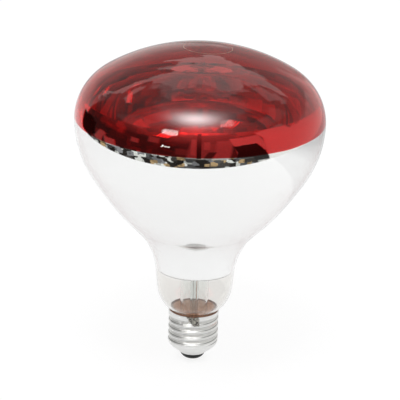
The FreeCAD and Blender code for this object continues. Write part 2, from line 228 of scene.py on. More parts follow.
# %% Neck, heel and collar
neck_lean = math.atan2(neck_top_r - neck_foot_r, neck_length)
heel_centre_r = neck_foot_r - heel_r * math.cos(neck_lean)
heel_rise = math.sqrt(heel_r**2 - (cap_r - cap_sheet - heel_centre_r) ** 2)
heel_centre = (heel_centre_r, cap_height + rim_seam + heel_rise)
heel_lean = math.acos((collar_r + collar_fillet_r - heel_centre_r) / (heel_r + collar_fillet_r))
fillet_z = heel_centre[1] - (heel_r + collar_fillet_r) * math.sin(heel_lean)
fillet_centre = (collar_r + collar_fillet_r, fillet_z)
collar_end_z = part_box("envelope")[0].z
neck_foot_z = heel_centre[1] - heel_r * math.sin(neck_lean)
neck_top_z = neck_foot_z + neck_length
throat_centre_r = neck_top_r + throat_r * math.cos(neck_lean)
throat_centre = (throat_centre_r, neck_top_z - throat_r * math.sin(neck_lean))
print("neck from", round(neck_foot_z, 4), "to", round(neck_top_z, 4))

# %% [markdown]
# Where two curves meet, they have to lean alike. The leans at the two ends of the parabola have no
# plain formula, so a search halves a range until it has closed in on each. The place of the
# parabola, its focus, the equator and the radius of the crown follow from them.

# %% Where the curves meet
search_rounds = 60


def solve(rising, low, high):
    """Where a rising function crosses zero."""
    for _ in range(search_rounds):
        middle = (low + high) / 2
        if rising(middle) > 0:
            high = middle
        else:
            low = middle
    return (low + high) / 2


def parabola_r(lean):
    """The parabola's radius where its wall leans so."""
    return 2 * reflector_focus / math.tan(lean)


def throat_excess(lean):
    """How far the throat's arc lies outside the parabola."""
    return throat_centre[0] - throat_r * math.cos(lean) - parabola_r(lean)


def bowl_excess(lean):
    """How far the bowl shoulder's arc lies outside the parabola."""
    return bulb_r - bowl_shoulder_r * (1 - math.cos(lean)) - parabola_r(lean)


throat_lean = solve(throat_excess, neck_lean, math.pi / 2)
bowl_lean = solve(bowl_excess, neck_lean / 2, throat_lean)
throat_end_z = throat_centre[1] + throat_r * math.sin(throat_lean)
vertex_z = throat_end_z - parabola_r(throat_lean) ** 2 / (4 * reflector_focus)
focus_z = vertex_z + reflector_focus
bowl_end_z = vertex_z + parabola_r(bowl_lean) ** 2 / (4 * reflector_focus)
equator_z = bowl_end_z + bowl_shoulder_r * math.sin(bowl_lean)
shoulder_centre_r = bulb_r - face_shoulder_r
crown_r = shoulder_centre_r**2 + face_depth**2 - face_shoulder_r**2
crown_r /= 2 * (face_depth - face_shoulder_r)
crown_lean = math.atan2(crown_r - face_depth, shoulder_centre_r)
print("equator", round(equator_z, 4), "focus", round(focus_z, 4))

# %% [markdown]
# One function gives the whole outline at any depth below the outer face. The glass, the mirror and
# the cement all take theirs from it, so they fit each other everywhere.

# %% The outline at any depth


def parabola_points(depth, count):
    """The reflector's part of the outline, set in by a depth."""
    points = []
    for step in range(count + 1):
        lean = bowl_lean + (throat_lean - bowl_lean) * step / count
        radius = parabola_r(lean)
        height = vertex_z + radius**2 / (4 * reflector_focus)
        points.append((radius - depth * math.cos(lean), height + depth * math.sin(lean)))
    return points


def glass_outline(depth):
    """The glass from crown to collar end, set in from the outer face by this depth."""
    side = depth * math.cos(neck_lean)
    drop = depth * math.sin(neck_lean)
    neck_top = (neck_top_r - side, neck_top_z + drop)
    neck_foot = (neck_foot_r - side, neck_foot_z + drop)
    return chain(
        arc((0, crown_z - crown_r), crown_r - depth, math.pi / 2, crown_lean, 42),
        arc((shoulder_centre_r, equator_z), face_shoulder_r - depth, crown_lean, 0, 26),
        arc((bulb_r - bowl_shoulder_r, equator_z), bowl_shoulder_r - depth, 0, -bowl_lean, 14),
        parabola_points(depth, 34),
        arc(throat_centre, throat_r + depth, math.pi - throat_lean, math.pi - neck_lean, 14),
        straight(neck_top, neck_foot, 4),
        arc(heel_centre, heel_r - depth, -neck_lean, -heel_lean, 14),
        arc(fillet_centre, collar_fillet_r + depth, math.pi - heel_lean, math.pi, 5),
        straight((collar_r - depth, fillet_z), (collar_r - depth, collar_end_z), 3),
    )


print("outline", len(glass_outline(0)), "points")

# %% [markdown]
# The glass and the red coat baked on its face are one optical body: light bends once where it
# enters and once where it leaves. So they are one closed shell here, and its material draws the
# coat. Two shells that touch would bend the light twice and blacken the seam.

# %% The glass bulb
outer_outline = glass_outline(0)
inner_outline = glass_outline(glass_wall)
bulb = spun_piece(
    "glass_bulb",
    outer_outline + inner_outline[::-1],
    "envelope",
    "red_filter_coat",
    slot="clear_glass",
    sharp=60,
)

# %% [markdown]
# The mirror is aluminium, deposited in the vacuum of the finished bulb. It covers the inside from
# just above the neck to a crisp edge over the equator. A metal colour on the glass could stand for
# it from one side only, and it is seen from below through the clear glass and from above through
# the red face. So it is a thin film with two faces, cut out of the glass's own outline.

# %% The mirror


def between(points, low, high):
    """The part of a falling outline between two heights."""
    kept = []
    for start, end in zip(points, points[1:]):
        for height in (high, low):
            if end[1] < height < start[1]:
                share = (start[1] - height) / (start[1] - end[1])
                kept.append((start[0] + (end[0] - start[0]) * share, height))
        if low < end[1] < high:
            kept.append(end)
    return kept


film_gap = 0.02 * mm
film_thickness = 0.1 * mm
film_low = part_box("reflector_coating")[0].z
film_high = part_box("reflector_coating")[1].z
film_outer = between(glass_outline(glass_wall + film_gap), film_low, film_high)
film_inner = between(glass_outline(glass_wall + film_gap + film_thickness), film_low, film_high)
mirror = spun_piece(
    "reflector_mirror",
    film_outer + film_inner[::-1],
    "reflector_coating",
    slot="mirror_film",
    closed=True,
    sharp=60,
)

# %% [markdown]
# The screw cap starts as a drawn aluminium cup, and rollers press the thread into its wall. The
# same order works here: the plain wall is spun, then each of its points is pressed in by the
# groove's depth at that height and angle. The groove climbs one pitch for each turn, right-handed,
# and fades out below the rim and above the nose.

# %% The thread's groove
thread_pitch = 3.629 * mm
thread_depth = 0.95 * mm
front_crest_z = 14.9 * mm
thread_top_z = 25.9 * mm
thread_foot_z = 11.27 * mm
thread_fade = 1.3 * mm
front = -math.pi / 2


def groove_depth(point):
    """How far the rollers press the wall in at a point."""
    angle = math.atan2(point.y, point.x) - front
    turns = (point.z - front_crest_z) / thread_pitch - angle / math.tau
    below_top = (thread_top_z - point.z) / thread_fade
    above_foot = (point.z - thread_foot_z + thread_fade) / thread_fade
    fade = max(0, min(1, below_top, above_foot))
    return thread_depth * (3 - 2 * fade) * fade**2 * (1 - math.cos(turns * math.tau)) / 2


print("thread", round((thread_top_z - thread_foot_z) / thread_pitch, 1), "turns")

# %% [markdown]
# The cup is a straight wall, a rounded nose and a sloping foot with a hole for the insulator. A
# screw modifier could sweep a groove, but its ends wouldn't fade into the wall, so the wall gets
# many rows of points, and each is pressed in. How far it went is kept on the mesh as an attribute
# for the finish. A solidify modifier then gives the sheet its thickness.

# %% The screw cap
nose_r = 5 * mm
nose_turn = math.radians(50)
lip_r = 6.8 * mm
cap_steps = 160
wall_rows = 92


def thicken(piece, thickness):
    """Give a skin its thickness, inwards."""
    choose(piece)
    wall = piece.modifiers.new("wall", "SOLIDIFY")
    wall.thickness = thickness
    wall.offset = -1
    bpy.ops.object.modifier_apply(modifier=wall.name)


def facing_out(face):
    """More than zero where a face looks away from the lamp's axis."""
    return face.normal.dot(face.center * Vector((1, 1, 0)))


nose_centre = (cap_r - nose_r, thread_foot_z)
cap_outline = chain(
    straight((cap_r, cap_height), (cap_r, thread_foot_z), wall_rows),
    arc(nose_centre, nose_r, 0, -nose_turn, 14),
    straight(arc(nose_centre, nose_r, 0, -nose_turn, 1)[-1], (lip_r, cap_low.z), 5),
)
cap = spin_round(outline_piece("screw_cap", cap_outline), cap_steps)
groove = cap.data.attributes.new("groove", "FLOAT", "POINT")
for vertex in cap.data.vertices:
    depth = groove_depth(vertex.co)
    outward = Vector((vertex.co.x, vertex.co.y, 0)).normalized()
    vertex.co -= outward * depth
    groove.data[vertex.index].value = depth / thread_depth
if facing_out(cap.data.polygons[0]) < 0:
    cap.data.flip_normals()
thicken(cap, cap_sheet)
finish_piece(cap, "cap_shell", slot="cap_aluminium")

# %% [markdown]
# Brown cement fills the room between the cap and the heel of the glass. A plain ring would leave
# gaps, so it is spun from the heel's own outline, pressed in where the thread is, and roughened
# where it swells out at the rim.

# %% The cement
cement_depth = 6.5 * mm
cement_room = 0.12 * mm
heel_gap = 0.02 * mm
bead_height = 0.5 * mm
bead_slope = 0.1 * mm
bead_grain = 0.2 * mm
bead_waves = 700
cement_foot_z = cap_height - cement_depth
cement_r = cap_r - cap_sheet - cement_room
bead_z = cap_height + bead_height

heel = between(glass_outline(-heel_gap), cement_foot_z, bead_z)
cement_outline = chain(
    heel,
    straight((heel[-1][0], cement_foot_z), (cement_r, cement_foot_z), 4),
    straight((cement_r, cement_foot_z), (cement_r, cap_height), 26),
    straight((cement_r, cap_height), (cement_r - bead_slope, bead_z), 2),
    straight((cement_r - bead_slope, bead_z), heel[0], 3),
)[:-1]
bedding = spin_round(outline_piece("basing_cement", cement_outline, closed=True))
for vertex in bedding.data.vertices:
    outward = Vector((vertex.co.x, vertex.co.y, 0))
    if outward.length > cement_r - shared_distance:
        vertex.co -= outward.normalized() * groove_depth(vertex.co)
    if vertex.co.z > cap_height + bead_slope:
        vertex.co.z += noise.noise(vertex.co * bead_waves) * bead_grain
finish_piece(bedding, "cap_cement", slot="cement")

# %% [markdown]
# The side lead comes over the rim and is soldered to the skirt by hand, so the solder is a dark,
# pitted lump with a tail where it ran. Its height over the skirt is one function of the place: a
# middle line that leans to the right as it falls, a half width that narrows, and smooth random
# numbers that make the outline ragged and the top pitted.

# %% Height of the solder
dab_half = 3.9 * mm
dab_top_z = cap_height + 0.2 * mm
dab_foot_z = cap_height - 5.0 * mm
dab_left = 0.7 * mm
dab_drift = 2.5 * mm
dab_narrowing = 0.68
side_slope = 2.2
top_slope = 9
top_start = 0.6
foot_slope = 3.5
ragged_waves = ((0, 900, 0.5), (3, 2600, 0.3))
pit_waves = (7, 1900, 0.3)
pit_floor = 0.7


def wander(across, z, seed, waves, reach):
    """A smooth random number that changes over the skirt."""
    return noise.noise(Vector((across, seed, z)) * waves) * reach


def solder_rise(across, z):
    """Height of the solder over the skirt, from 0 to 1."""
    fall = (dab_top_z - z) / (dab_top_z - dab_foot_z)
    middle = dab_drift * fall - dab_left
    half = dab_half * (1 - dab_narrowing * max(0, fall) ** 0.9)
    side = 1 - abs(across - middle) / half
    ragged = sum(wander(across, z, *waves) for waves in ragged_waves)
    inside = min(side * side_slope, fall * top_slope + top_start, (1 - fall) * foot_slope) + ragged
    return max(0, min(1, inside)) * (pit_floor + wander(across, z, *pit_waves))


print("solder from", round(dab_foot_z, 4), "to", round(dab_top_z, 4))

# %% [markdown]
# Sculpting could make such a lump, but not the same one each time. So a grid is laid on the skirt,
# each of its points rises by the function's height, and the faces that don't rise are deleted.

# %% The side solder
solder_height = 1.15 * mm
solder_rows = 84
solder_skin = 0.25 * mm
patch_width = 12 * mm
sunk = 0.12 * mm

deselect()
bpy.ops.mesh.primitive_grid_add(x_subdivisions=solder_rows, y_subdivisions=solder_rows, size=1)
solder = bpy.context.object
solder.name = "side_solder_dab"
rises = []
for vertex in solder.data.vertices:
    across = vertex.co.x * patch_width
    z = dab_foot_z + (vertex.co.y + 0.5) * (dab_top_z - dab_foot_z)
    rise = solder_rise(across, z)
    rises.append(rise)
    angle = front + across / cap_r
    radius = cap_r - sunk + rise * solder_height
    vertex.co = (radius * math.cos(angle), radius * math.sin(angle), z)
start_edit(solder)
bpy.ops.mesh.normals_make_consistent(inside=False)
bpy.ops.mesh.select_mode(type="FACE")
bpy.ops.mesh.select_all(action="DESELECT")
bpy.ops.object.mode_set(mode="OBJECT")
for face in solder.data.polygons:
    face.select = all(rises[index] <= 0 for index in face.vertices)
bpy.ops.object.mode_set(mode="EDIT")
bpy.ops.mesh.delete(type="FACE")
bpy.ops.mesh.select_mode(type="VERT")
bpy.ops.object.mode_set(mode="OBJECT")
thicken(solder, solder_skin)
finish_piece(solder, "side_solder", slot="solder", sharp=180)

# %% [markdown]
# The filament is a tungsten coil laid on a ring at the reflector's focus, open between the leads.
# A screw modifier would wind it straight, and it would have to be bent afterwards. So a loop works
# out the turns on the ring, a thin bevelled curve carries them, and it is then made a mesh.

# %% The filament
ring_r = 12 * mm
coil_r = 0.66 * mm
coil_wire_r = 0.13 * mm
coil_turns = 96
points_per_turn = 14
ring_gap = math.radians(60)
press_turn = math.radians(-75)
filament_z = (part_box("filament")[0].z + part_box("filament")[1].z) / 2

curve = bpy.data.curves.new("filament_coil", "CURVE")
curve.dimensions = "3D"
curve.bevel_depth = coil_wire_r
curve.bevel_resolution = 2
curve.use_fill_caps = True
count = coil_turns * points_per_turn + 1
spline = curve.splines.new("POLY")
spline.points.add(count - 1)
for index in range(count):
    share = index / (count - 1)
    around = press_turn + front + ring_gap / 2 + (math.tau - ring_gap) * share
    wound = share * coil_turns * math.tau
    radius = ring_r + coil_r * math.cos(wound)
    height = filament_z + coil_r * math.sin(wound)
    spline.points[index].co = (radius * math.cos(around), radius * math.sin(around), height, 1)
coil = bpy.data.objects.new("filament_coil", curve)
scene.collection.objects.link(coil)
choose(coil)
bpy.ops.object.convert(target="MESH")
coil = bpy.context.object
finish_piece(coil, "filament", slot="tungsten", sharp=60)

# %% [markdown]
# A thin pale ring is printed on the crown, a little off its middle. The glass's material could
# draw it, but a print with a body of its own keeps a crisp edge. A circle is extruded once into a
# narrow band, laid on the crown's sphere and given the thickness of a coat of paint.

# %% The printed ring
print_r = 12.2 * mm
print_width = 0.17 * mm
print_middle = Vector((2.86 * mm, 3.5 * mm, 0))
print_lift = 0.03 * mm
print_coat = 0.02 * mm
print_points = 128

deselect()
bpy.ops.mesh.primitive_circle_add(vertices=print_points, radius=print_r, location=(0, 0, 0))
ring = bpy.context.object
ring.name = "crown_ring_print"
start_edit(ring)
bpy.ops.mesh.extrude_edges_move()
widen = (print_r + print_width) / print_r
bpy.ops.transform.resize(value=(widen, widen, 1))
bpy.ops.object.mode_set(mode="OBJECT")
for vertex in ring.data.vertices:
    spot = vertex.co + print_middle
    height = crown_z - crown_r + math.sqrt(crown_r**2 - spot.x**2 - spot.y**2)
    vertex.co = (spot.x, spot.y, height + print_lift)
thicken(ring, print_coat)
finish_piece(ring, slot="red_glass_coat")

# %% [markdown]
# A finish is a small network of nodes. The first helper places a node, sets its plain inputs by
# name and links the others. The next three each stand for one common step: a colour between two,
# a number carried to another range, and a sum.

# %% Helpers for nodes


def place(tree, kind, sets=None, feeds=None, **settings):
    """A node of a kind, with its plain inputs set and its other inputs linked."""
    node = tree.nodes.new(kind)
    for name, value in settings.items():
        setattr(node, name, value)
    for name, value in (sets or {}).items():
        node.inputs[name].default_value = value
    for name, source in (feeds or {}).items():
        tree.links.new(source, node.inputs[name])
    return node


def mix(tree, factor, below, above):
    """A colour between two, each a colour or another node's output."""
    node = place(tree, "ShaderNodeMix", data_type="RGBA", feeds={"Factor": factor})
    for name, colour in (("A", below), ("B", above)):
        if isinstance(colour, tuple):
            node.inputs[name].default_value = (*colour, 1)
        else:
            tree.links.new(colour, node.inputs[name])
    return node.outputs["Result"]


def smooth(tree, source, low, high, to_low=0.0, to_high=1.0):
    """A number carried from one range to another, and held at its ends."""
    limits = {"From Min": low, "From Max": high, "To Min": to_low, "To Max": to_high}
    return place(tree, "ShaderNodeMapRange", sets=limits, feeds={"Value": source}).outputs["Result"]


def maths(tree, operation, first, second=0.0):
    """One sum of two, each a number or another node's output."""
    node = place(tree, "ShaderNodeMath", operation=operation)
    for index, value in enumerate((first, second)):
        if isinstance(value, (int, float)):
            node.inputs[index].default_value = value
        else:
            tree.links.new(value, node.inputs[index])
    return node.outputs[0]


print("node helpers: place, mix, smooth and maths")

# %% [markdown]
# Handling leaves a faint film on glass and metal, and several finishes here need it. So it is a
# shader node group, built once: a roughness that wanders between a clean and a smeared value, and
# the mask of the smears. Each material places the group with a scale and two values of its own.

# %% Group for smears


def new_group(name, inputs, outputs):
    """A shader node group with number inputs and typed outputs."""
    group = bpy.data.node_groups.new(name, "ShaderNodeTree")
    for label, value in inputs.items():
        socket = group.interface.new_socket(label, in_out="INPUT", socket_type="NodeSocketFloat")
        socket.default_value = value
    for label, kind in outputs.items():
        group.interface.new_socket(label, in_out="OUTPUT", socket_type=kind)
    return group, group.nodes.new("NodeGroupInput"), group.nodes.new("NodeGroupOutput")


smear_group, group_in, group_out = new_group(
    "smears",
    {"Scale": 30.0, "Clean": 0.0, "Smeared": 0.05},
    {"Roughness": "NodeSocketFloat", "Mask": "NodeSocketFloat"},
)
smear_start = 0.5
smear_full = 0.75
group_coords = place(smear_group, "ShaderNodeTexCoord").outputs["Object"]
smear_noise = place(
    smear_group,
    "ShaderNodeTexNoise",
    sets={"Detail": 5.0, "Roughness": 0.6},
    feeds={"Vector": group_coords, "Scale": group_in.outputs["Scale"]},
)
smear_mask = smooth(smear_group, smear_noise.outputs["Fac"], smear_start, smear_full)
smear_rough = place(
    smear_group,
    "ShaderNodeMapRange",
    feeds={
        "Value": smear_mask,
        "To Min": group_in.outputs["Clean"],
        "To Max": group_in.outputs["Smeared"],
    },
)
smear_group.links.new(smear_rough.outputs["Result"], group_out.inputs["Roughness"])
smear_group.links.new(smear_mask, group_out.inputs["Mask"])
print("group", smear_group.name, "with", len(smear_group.nodes), "nodes")

# %% [markdown]
# Every finish starts in the same way: a Principled shader, its output, and the piece's own
# coordinates, so that a pattern stays on the piece. The shader itself is never inside a group.

# %% Helpers for materials


def use_group(tree, group, **values):
    """A group placed in a material, with that material's own values."""
    node = place(tree, "ShaderNodeGroup", node_tree=group)
    for name, value in values.items():
        node.inputs[name.replace("_", " ").capitalize()].default_value = value
    return node


def new_material(name):
    """A material with its shader on the output, and the piece's own coordinates."""
    material = bpy.data.materials.new(name)
    material.use_nodes = True
    tree = material.node_tree
    tree.nodes.clear()
    shader = place(tree, "ShaderNodeBsdfPrincipled")
    output = place(tree, "ShaderNodeOutputMaterial")
    tree.links.new(shader.outputs[0], output.inputs["Surface"])
    coords = place(tree, "ShaderNodeTexCoord").outputs["Object"]
    return material, tree, shader, coords


def dress(piece, material):
    """Give a piece one material alone."""
    piece.data.materials.clear()
    piece.data.materials.append(material)


print("material helpers: use_group, new_material and dress")

# %% [markdown]
# The bulb's glass is clear below the equator and red above it. A glass shader tints light by the
# root of its base colour at each face, so the colours below are what one pass through the wall
# does. A shell of red glass of its own would bend the light once more, so the coat is a mask by
# height. The red is drawn darker towards the crown, a painted shade for the dimmer light seen
# through the top, and the coat's edge wavers by a hair. Below the mirror the neck carries a thin
# grey mist, where the vapour strayed past its shield.

# %% Glass with its red face
edge_up = 0.2 * mm
red_edge_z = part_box("red_filter_coat")[0].z + edge_up
red_colour = (0.8, 0.075, 0.075)
crown_shade_colour = (0.43, 0.028, 0.028)
clear_colour = (0.99, 0.992, 0.99)
mist_colour = (0.9, 0.89, 0.872)
edge_soft = 0.12 * mm
edge_waver = 0.5 * mm
waver_scale = 60.0
crown_shade_start = 8 * mm
mist_fade = 1.2 * mm
bulb_ior = 1.5

glass, tree, shader, coords = new_material("clear_glass")
height = place(tree, "ShaderNodeSeparateXYZ", feeds={"Vector": coords}).outputs["Z"]
waver = place(
    tree,
    "ShaderNodeTexNoise",
    sets={"Scale": waver_scale, "Detail": 2.0},
    feeds={"Vector": coords},
)
offset = smooth(tree, waver.outputs["Fac"], 0, 1, -edge_waver / 2, edge_waver / 2)
waved = maths(tree, "ADD", height, offset)
red_mask = smooth(tree, waved, red_edge_z - edge_soft, red_edge_z + edge_soft)
mist_mask = smooth(tree, height, film_low + mist_fade, film_low - mist_fade)
plain = mix(tree, mist_mask, clear_colour, mist_colour)
# Painted shade: the red is drawn darker towards the crown.
crown_shading = smooth(tree, height, equator_z + crown_shade_start, crown_z)
coat = mix(tree, crown_shading, red_colour, crown_shade_colour)
tree.links.new(mix(tree, red_mask, plain, coat), shader.inputs["Base Color"])
shader.inputs["Transmission Weight"].default_value = 1
shader.inputs["IOR"].default_value = bulb_ior
smears = use_group(tree, smear_group, scale=22.0, clean=0.0, smeared=0.02)
tree.links.new(smears.outputs["Roughness"], shader.inputs["Roughness"])
dress(bulb, glass)
print("red face above", round(red_edge_z, 4))

# %% [markdown]
# The mirror film is nearly pure aluminium. Its base colour stays pale and its roughness low, with
# slow clouds where the vapour settled unevenly. It is thin and grey along its lower edge. The
# renderer stops after four mirror bounces, where the real lamp goes on, so from the fourth bounce
# on the film gives off the dull red that the later ones would bring.

# %% Mirror film
film_pale = (0.93, 0.933, 0.932)
film_cloudy = (0.9, 0.903, 0.902)
film_edge = (0.4, 0.4, 0.395)
late_red = (0.2, 0.016, 0.016)
thin_width = 0.5 * mm
last_bounce = 4


def ramp(tree, source, *stops):
    """A colour ramp whose stops are a place and a colour."""
    node = place(tree, "ShaderNodeValToRGB", feeds={"Fac": source})
    for index, (spot, colour) in enumerate(stops):
        element = node.color_ramp.elements[index] if index < 2 else node.color_ramp.elements.new(spot)
        element.position = spot
        element.color = (*colour, 1)
    return node.outputs["Color"]


film, tree, shader, coords = new_material("mirror_film")
shader.inputs["Metallic"].default_value = 1
clouds = use_group(tree, smear_group, scale=14.0, clean=0.02, smeared=0.07)
colour = ramp(tree, clouds.outputs["Mask"], (0.0, film_pale), (1.0, film_cloudy))
height = place(tree, "ShaderNodeSeparateXYZ", feeds={"Vector": coords}).outputs["Z"]
thin = smooth(tree, height, film_low + thin_width, film_low + thin_width / 3)
tree.links.new(mix(tree, thin, colour, film_edge), shader.inputs["Base Color"])
bounces = place(tree, "ShaderNodeLightPath").outputs["Glossy Depth"]
late = maths(tree, "GREATER_THAN", bounces, last_bounce - 0.5)
shader.inputs["Emission Color"].default_value = (*late_red, 1)
tree.links.new(late, shader.inputs["Emission Strength"])
tree.links.new(clouds.outputs["Roughness"], shader.inputs["Roughness"])
dress(mirror, film)
print("mirror film glows from bounce", last_bounce)

# %% [markdown]
# The cap is plain rolled aluminium, dulled by a thin skin of oxide. Fine lines run round it from
# the rollers. Thin dark lines on both flanks of the groove are painted reflections of the dark
# flags in front. The bottom of the groove is drawn darker in patches, and flux has stained the
# skirt brown round the solder. The groove's depth was kept on the mesh as an attribute, so the
# darker bottom and the painted reflections follow the thread. A pattern by height alone would
# cut across it.

# %% Cap aluminium
line_scale = (60, 60, 5200)
line_relief = 0.02 * mm
dirt_scale = 500.0
stain_spot = (-0.2 * mm, -cap_r, cap_height - 0.6 * mm)
stain_reach = 3.4 * mm
stain_edge = 1.5 * mm
stain_ragged = 3 * mm
flank_share = 0.45
flank_half = 0.2
cap_dull = (0.8, 0.8, 0.785)
cap_bright = (0.9, 0.9, 0.885)
clean_metal = 0.6
stained_metal = 0.25
groove_dark_depth = 0.7
patch_strength = (0.5, 0.95)
groove_dark_colour = (0.6, 0.595, 0.57)
# Colour of the painted reflection: thin dark lines on the groove's flanks.
flank_reflection_colour = (0.16, 0.16, 0.155)
stain_colour = (0.2, 0.13, 0.07)

aluminium, tree, shader, coords = new_material("cap_aluminium")
stretched = place(tree, "ShaderNodeMapping", feeds={"Vector": coords}, sets={"Scale": line_scale})
lines = place(
    tree,
    "ShaderNodeTexNoise",
    sets={"Scale": 1.0, "Detail": 3.0},
    feeds={"Vector": stretched.outputs[0]},
)
dirt = place(
    tree,
    "ShaderNodeTexNoise",
    sets={"Scale": dirt_scale, "Detail": 5.0},
    feeds={"Vector": coords},
)
blotches = use_group(tree, smear_group, scale=260.0, clean=0.36, smeared=0.46)
away = place(tree, "ShaderNodeVectorMath", operation="DISTANCE", feeds={0: coords}, sets={1: stain_spot})
ragged = maths(tree, "MULTIPLY", dirt.outputs["Fac"], stain_ragged)
patchy = maths(tree, "SUBTRACT", away.outputs["Value"], ragged)
stain = smooth(tree, patchy, stain_reach - stain_edge, 0.0)
depth = place(tree, "ShaderNodeAttribute", attribute_name="groove").outputs["Fac"]
patches = smooth(tree, dirt.outputs["Fac"], 0.3, 0.7, *patch_strength)
groove_dark = maths(tree, "MULTIPLY", smooth(tree, depth, groove_dark_depth, 1.0), patches)
off_flank = maths(tree, "ABSOLUTE", maths(tree, "SUBTRACT", depth, flank_share))
# Painted reflection of the dark flags, drawn on both flanks of the groove.
flank_reflection = maths(tree, "MULTIPLY", smooth(tree, off_flank, flank_half, flank_half / 3), patches)
bright = ramp(tree, lines.outputs["Fac"], (0.3, cap_dull), (0.7, cap_bright))
groove_dark_and_reflection = mix(tree, groove_dark, bright, groove_dark_colour)
groove_dark_and_reflection = mix(tree, flank_reflection, groove_dark_and_reflection, flank_reflection_colour)
tree.links.new(mix(tree, stain, groove_dark_and_reflection, stain_colour), shader.inputs["Base Color"])
tree.links.new(smooth(tree, stain, 0, 1, clean_metal, stained_metal), shader.inputs["Metallic"])
tree.links.new(blotches.outputs["Roughness"], shader.inputs["Roughness"])
fine = place(
    tree,
    "ShaderNodeBump",
    sets={"Strength": 0.15, "Distance": line_relief},
    feeds={"Height": lines.outputs["Fac"]},
)
tree.links.new(fine.outputs["Normal"], shader.inputs["Normal"])
dress(cap, aluminium)
print("cap finish", len(tree.nodes), "nodes")

# %% [markdown]
# The other finishes are plain sorts of one kind: a noise mixes a dark and a light shade and moves
# the roughness and a fine bump with them, so that none of them is a flat colour. One function
# makes them all.

# %% Helper for mottled finishes
shade_places = (0.35, 0.65)
rough_places = (0.3, 0.7)
relief_strength = 0.6


def mottled(name, dark, light, scale, rough, bump, metallic=0.0):
    """A finish from two shades, a noise scale, a roughness range and the height of its bump."""
    material, tree, shader, coords = new_material(name)
    grain = place(
        tree,
        "ShaderNodeTexNoise",
        sets={"Scale": scale, "Detail": 6.0},
        feeds={"Vector": coords},
    )
    shade = ramp(tree, grain.outputs["Fac"], *zip(shade_places, (dark, light)))
    tree.links.new(shade, shader.inputs["Base Color"])
    roughness = smooth(tree, grain.outputs["Fac"], *rough_places, *rough)
    tree.links.new(roughness, shader.inputs["Roughness"])
    relief = place(
        tree,
        "ShaderNodeBump",
        sets={"Strength": relief_strength, "Distance": bump},
        feeds={"Height": grain.outputs["Fac"]},
    )
    tree.links.new(relief.outputs["Normal"], shader.inputs["Normal"])
    shader.inputs["Metallic"].default_value = metallic
    return material


print("helper for finishes: mottled")

# %% [markdown]
# The cement is a baked paste, drawn dark at the rim as painted shade in the crevice between the
# cap and the glass, and a skin of it lines the inside of the cap. The renderer carries no light
# through glass onto a matt surface, so the cement glows faintly in its own colour to stand for that
# light, dimmer at the rim with the painted shade. A lamp inside the neck would show in the glass.

# %% Cement
cement_shades = ((0.4, 0.2, 0.12), (0.62, 0.4, 0.28))
rim_shade_colour = (0.14, 0.06, 0.03)
rim_shade_glow = (0.13, 0.08, 0.06)
rim_shade_depth = 0.3 * mm
cement_glow = 0.6

cement = mottled("cement", *cement_shades, 900, (0.75, 0.95), 0.08 * mm)
tree = cement.node_tree
shader = tree.nodes["Principled BSDF"]
coords = place(tree, "ShaderNodeTexCoord").outputs["Object"]
height = place(tree, "ShaderNodeSeparateXYZ", feeds={"Vector": coords}).outputs["Z"]
# Painted shade: the cement darkens at the rim, in the crevice between cap and glass.
rim_shade = smooth(tree, height, cap_height - rim_shade_depth, cap_height)
inner_colour = shader.inputs["Base Color"].links[0].from_socket
tree.links.new(mix(tree, rim_shade, inner_colour, rim_shade_colour), shader.inputs["Base Color"])
tree.links.new(mix(tree, rim_shade, inner_colour, rim_shade_glow), shader.inputs["Emission Color"])
shader.inputs["Emission Strength"].default_value = cement_glow
dress(bedding, cement)
cap.data.materials.append(cement)
for face in cap.data.polygons:
    face.material_index = int(facing_out(face) < 0)
print("cement inside the cap on", sum(face.material_index for face in cap.data.polygons), "faces")

# %% [markdown]
# The small pieces need their metals and glass: black glass for the insulator, brass under a lump of
# solder for the contact, copper, nickel and molybdenum for the wires, tungsten for the coil, and
# the ring's pale paint. Photographs of metal could be wrapped round them, but at this size a noise
# looks the same and needs no unwrapping.

# %% Small metals and paint
insulator_shine = 0.15
wire_relief = 0.005 * mm
insulator_shades = ((0.006, 0.006, 0.006), (0.014, 0.014, 0.014))
black_glass = mottled("black_glass", *insulator_shades, 500, (0.4, 0.55), 0.02 * mm)
black_glass.node_tree.nodes["Principled BSDF"].inputs["Specular IOR Level"].default_value = insulator_shine
brass_shades = ((0.55, 0.38, 0.16), (0.75, 0.56, 0.27))
brass = mottled("contact_brass", *brass_shades, 700, (0.3, 0.5), 0.01 * mm, 1.0)
solder_shades = ((0.012, 0.011, 0.009), (0.6, 0.58, 0.52))
solder_metal = mottled("solder", *solder_shades, 1000, (0.35, 0.8), 0.2 * mm, 0.6)
coil_shades = ((0.16, 0.16, 0.17), (0.28, 0.28, 0.29))
tungsten = mottled("tungsten", *coil_shades, 900, (0.35, 0.5), wire_relief, 1.0)
nickel_shades = ((0.5, 0.48, 0.44), (0.66, 0.64, 0.6))
nickel = mottled("nickel_wire", *nickel_shades, 900, (0.25, 0.4), wire_relief, 1.0)
copper_shades = ((0.42, 0.2, 0.12), (0.62, 0.34, 0.22))
copper = mottled("copper_wire", *copper_shades, 900, (0.3, 0.5), wire_relief, 1.0)
hook_shades = ((0.4, 0.4, 0.41), (0.52, 0.52, 0.53))
molybdenum = mottled("molybdenum_wire", *hook_shades, 900, (0.3, 0.45), wire_relief, 1.0)
paint_shades = ((0.4, 0.28, 0.2), (0.6, 0.47, 0.36))
ring_paint = mottled("ring_print", *paint_shades, 400, (0.4, 0.6), wire_relief)
print("metals from", black_glass.name, "to", ring_paint.name)

# %% [markdown]
# The stem is lead glass, a little denser than the bulb's, with a faint green cast and a few smears
# from the fire. Like the bulb it is clear, so only its edges and its bent reflections show.

